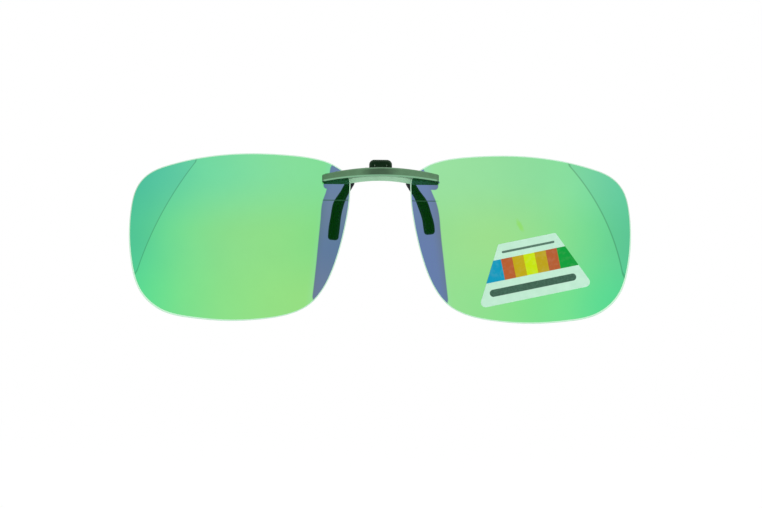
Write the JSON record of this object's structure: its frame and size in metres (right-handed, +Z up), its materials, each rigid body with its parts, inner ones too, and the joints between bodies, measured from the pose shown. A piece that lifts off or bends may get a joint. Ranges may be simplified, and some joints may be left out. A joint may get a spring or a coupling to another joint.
{
  "type": "flip-up clip-on sunglasses",
  "caption": "Rimless mirrored clip-on sun lenses on an arched bridge bar, with a sprung clamp with rubber arms behind the bar and a hinge that flips the lenses up.",
  "frame": {"origin": "middle of the lower edge of the clip carrier, the edge that comes down on a spectacle bridge", "axes": "+X along the bridge bar, to the viewer's right when the lenses are seen from the front; -Y is the side the mirrored lenses face, +Y is towards the wearer; +Z up"},
  "size_m": [0.1326, 0.013, 0.0441],
  "materials": {
    "bar_metal": "satin dark olive-grey lacquer",
    "plate_metal": "satin dark olive-grey lacquer",
    "clip_metal": "satin dark gunmetal lacquer",
    "screw_steel": "turned steel",
    "spring_steel": "bright spring steel",
    "bush_nylon": "clear nylon",
    "lens": "green mirror coating over a grey tint, gloss",
    "black_rubber": "soft black rubber",
    "tab_plastic": "satin black plastic",
    "label_film": "thin pale film with plain printed colour bars"
  },
  "bodies": {
    "clip_body": {"clip_carrier": "clip_metal", "flip_pin": "screw_steel", "jaw_pin": "screw_steel", "torsion_spring": "spring_steel", "detent_leaf": "spring_steel", "leaf_rivets": "screw_steel", "front_left_sleeve": "black_rubber", "front_right_sleeve": "black_rubber"},
    "lens_frame": {"bridge_bar": "bar_metal", "rear_plate": "plate_metal", "flip_barrel": "plate_metal", "left_lens": "lens", "right_lens": "lens", "left_lens_screws": "screw_steel", "right_lens_screws": "screw_steel", "left_lens_bushes": "bush_nylon", "right_lens_bushes": "bush_nylon", "peel_off_label": "label_film"},
    "rear_jaw": {"rear_lever": "clip_metal", "rear_left_sleeve": "black_rubber", "rear_right_sleeve": "black_rubber", "thumb_tab_cover": "tab_plastic"}
  },
  "joints": [
    {"name": "lens_flip", "type": "hinge", "parent": "clip_body", "child": "lens_frame", "pos_m": [0, -0.0025, 0.0023], "axis": [-1, 0, 0], "range_deg": [0, 90], "deforming": ["detent_leaf"]},
    {"name": "jaw_open", "type": "hinge", "parent": "clip_body", "child": "rear_jaw", "pos_m": [0, 0.0014, 0.0016], "axis": [1, 0, 0], "range_deg": [0, 22], "stiffness_Nm_per_rad": 0.02, "springref_deg": -51.57, "deforming": ["torsion_spring"]}
  ]
}
